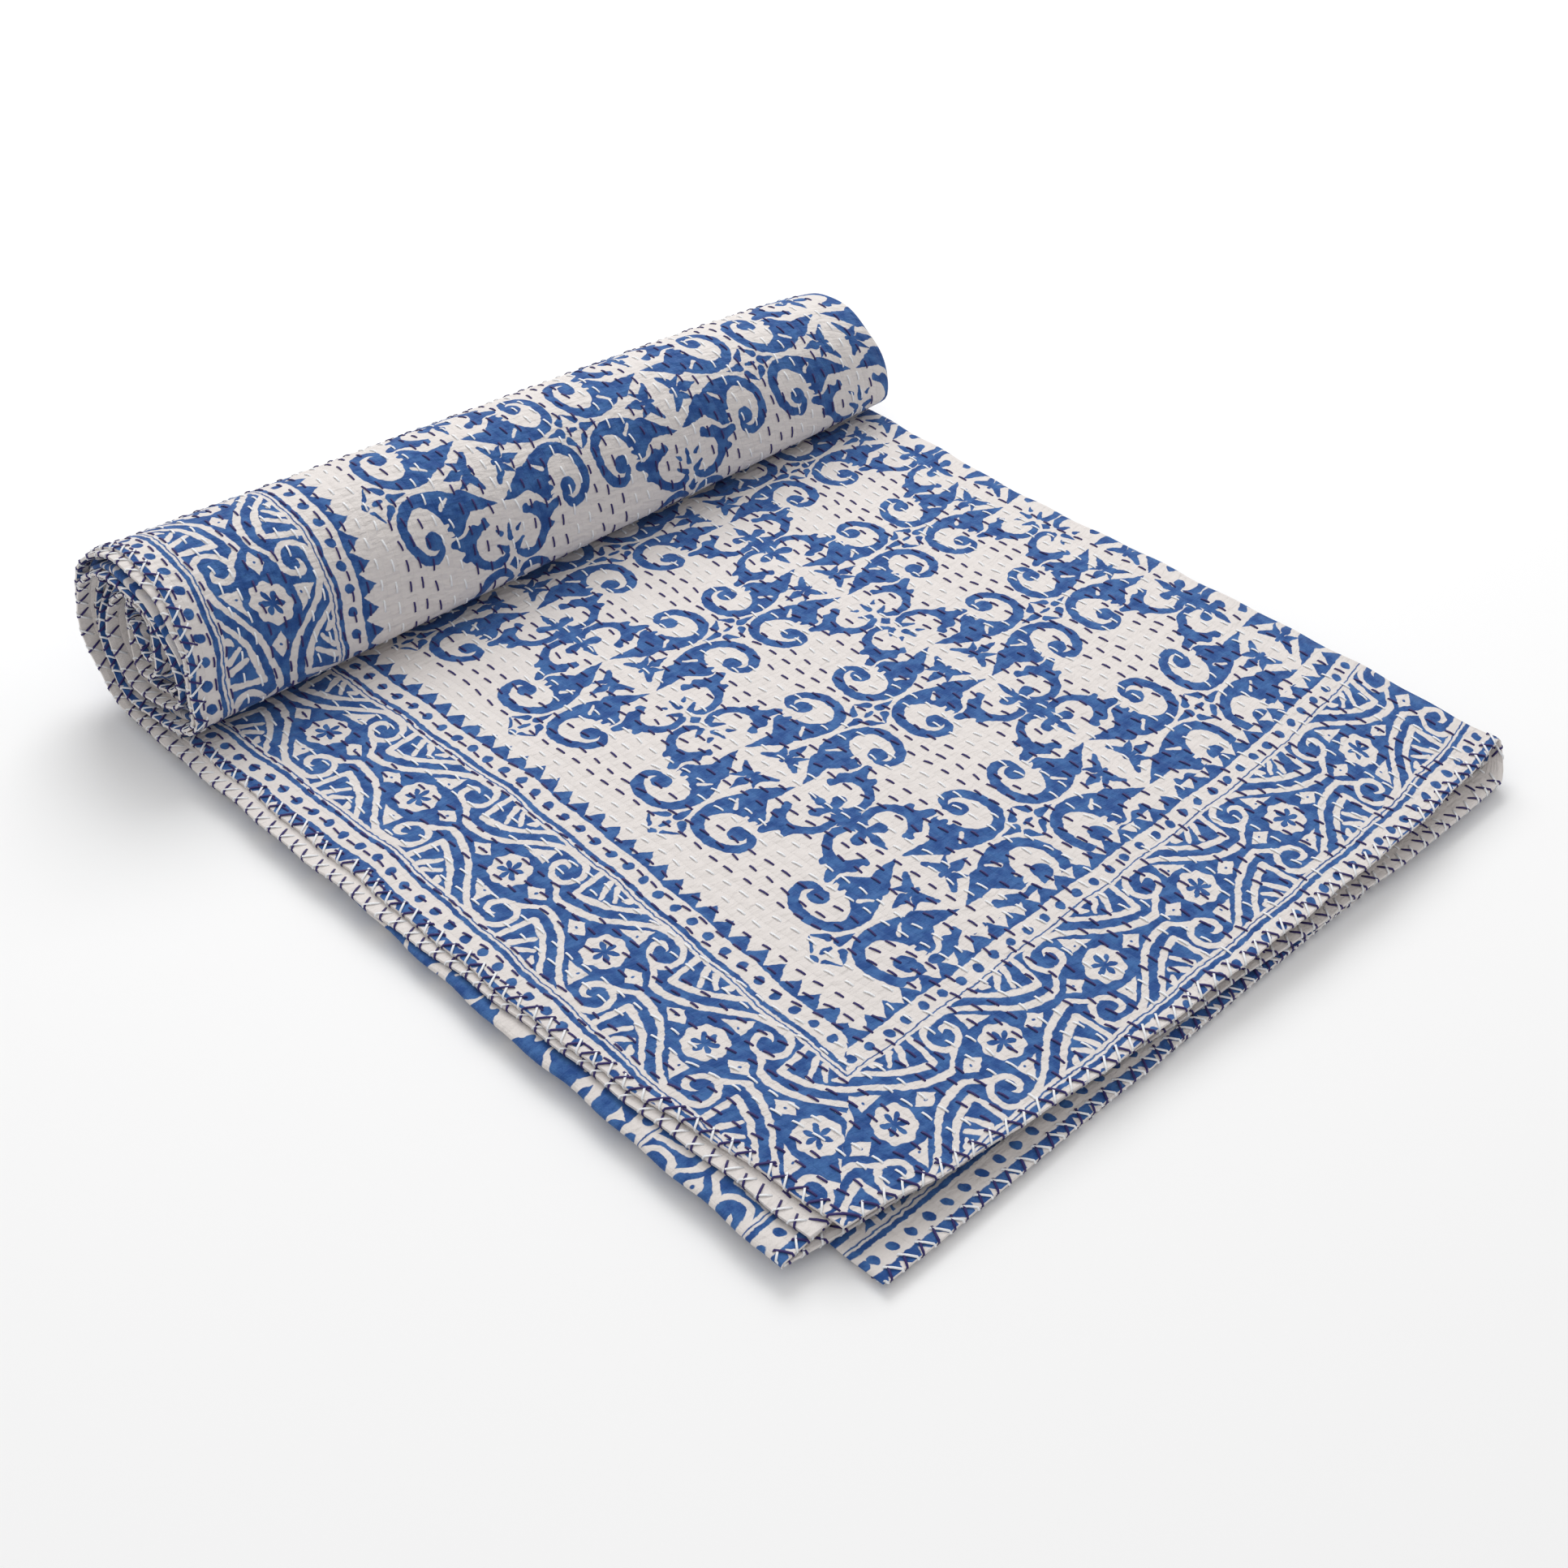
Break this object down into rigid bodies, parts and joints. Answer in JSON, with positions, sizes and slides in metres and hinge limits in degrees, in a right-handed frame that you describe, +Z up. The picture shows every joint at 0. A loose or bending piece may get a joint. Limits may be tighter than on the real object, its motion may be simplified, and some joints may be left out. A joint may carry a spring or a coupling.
{
  "type": "kantha quilt",
  "caption": "Block-printed cotton quilt with hand running stitch, folded into a long strip, doubled over and half rolled up, with a flat end left lying in front of the roll.",
  "frame": {"origin": "middle of the footprint, on the surface that the quilt lies on", "axes": "+Z up, +X along the roll from the hems to the folds, +Y from the flat front end towards the roll at the back"},
  "size_m": [0.618, 0.6942, 0.1231],
  "materials": {
    "printed_cotton": "matt woven cotton, block printed in blue on cream, with puckered running stitch"
  },
  "bodies": {
    "root": {"quilt": "printed_cotton"}
  },
  "joints": []
}
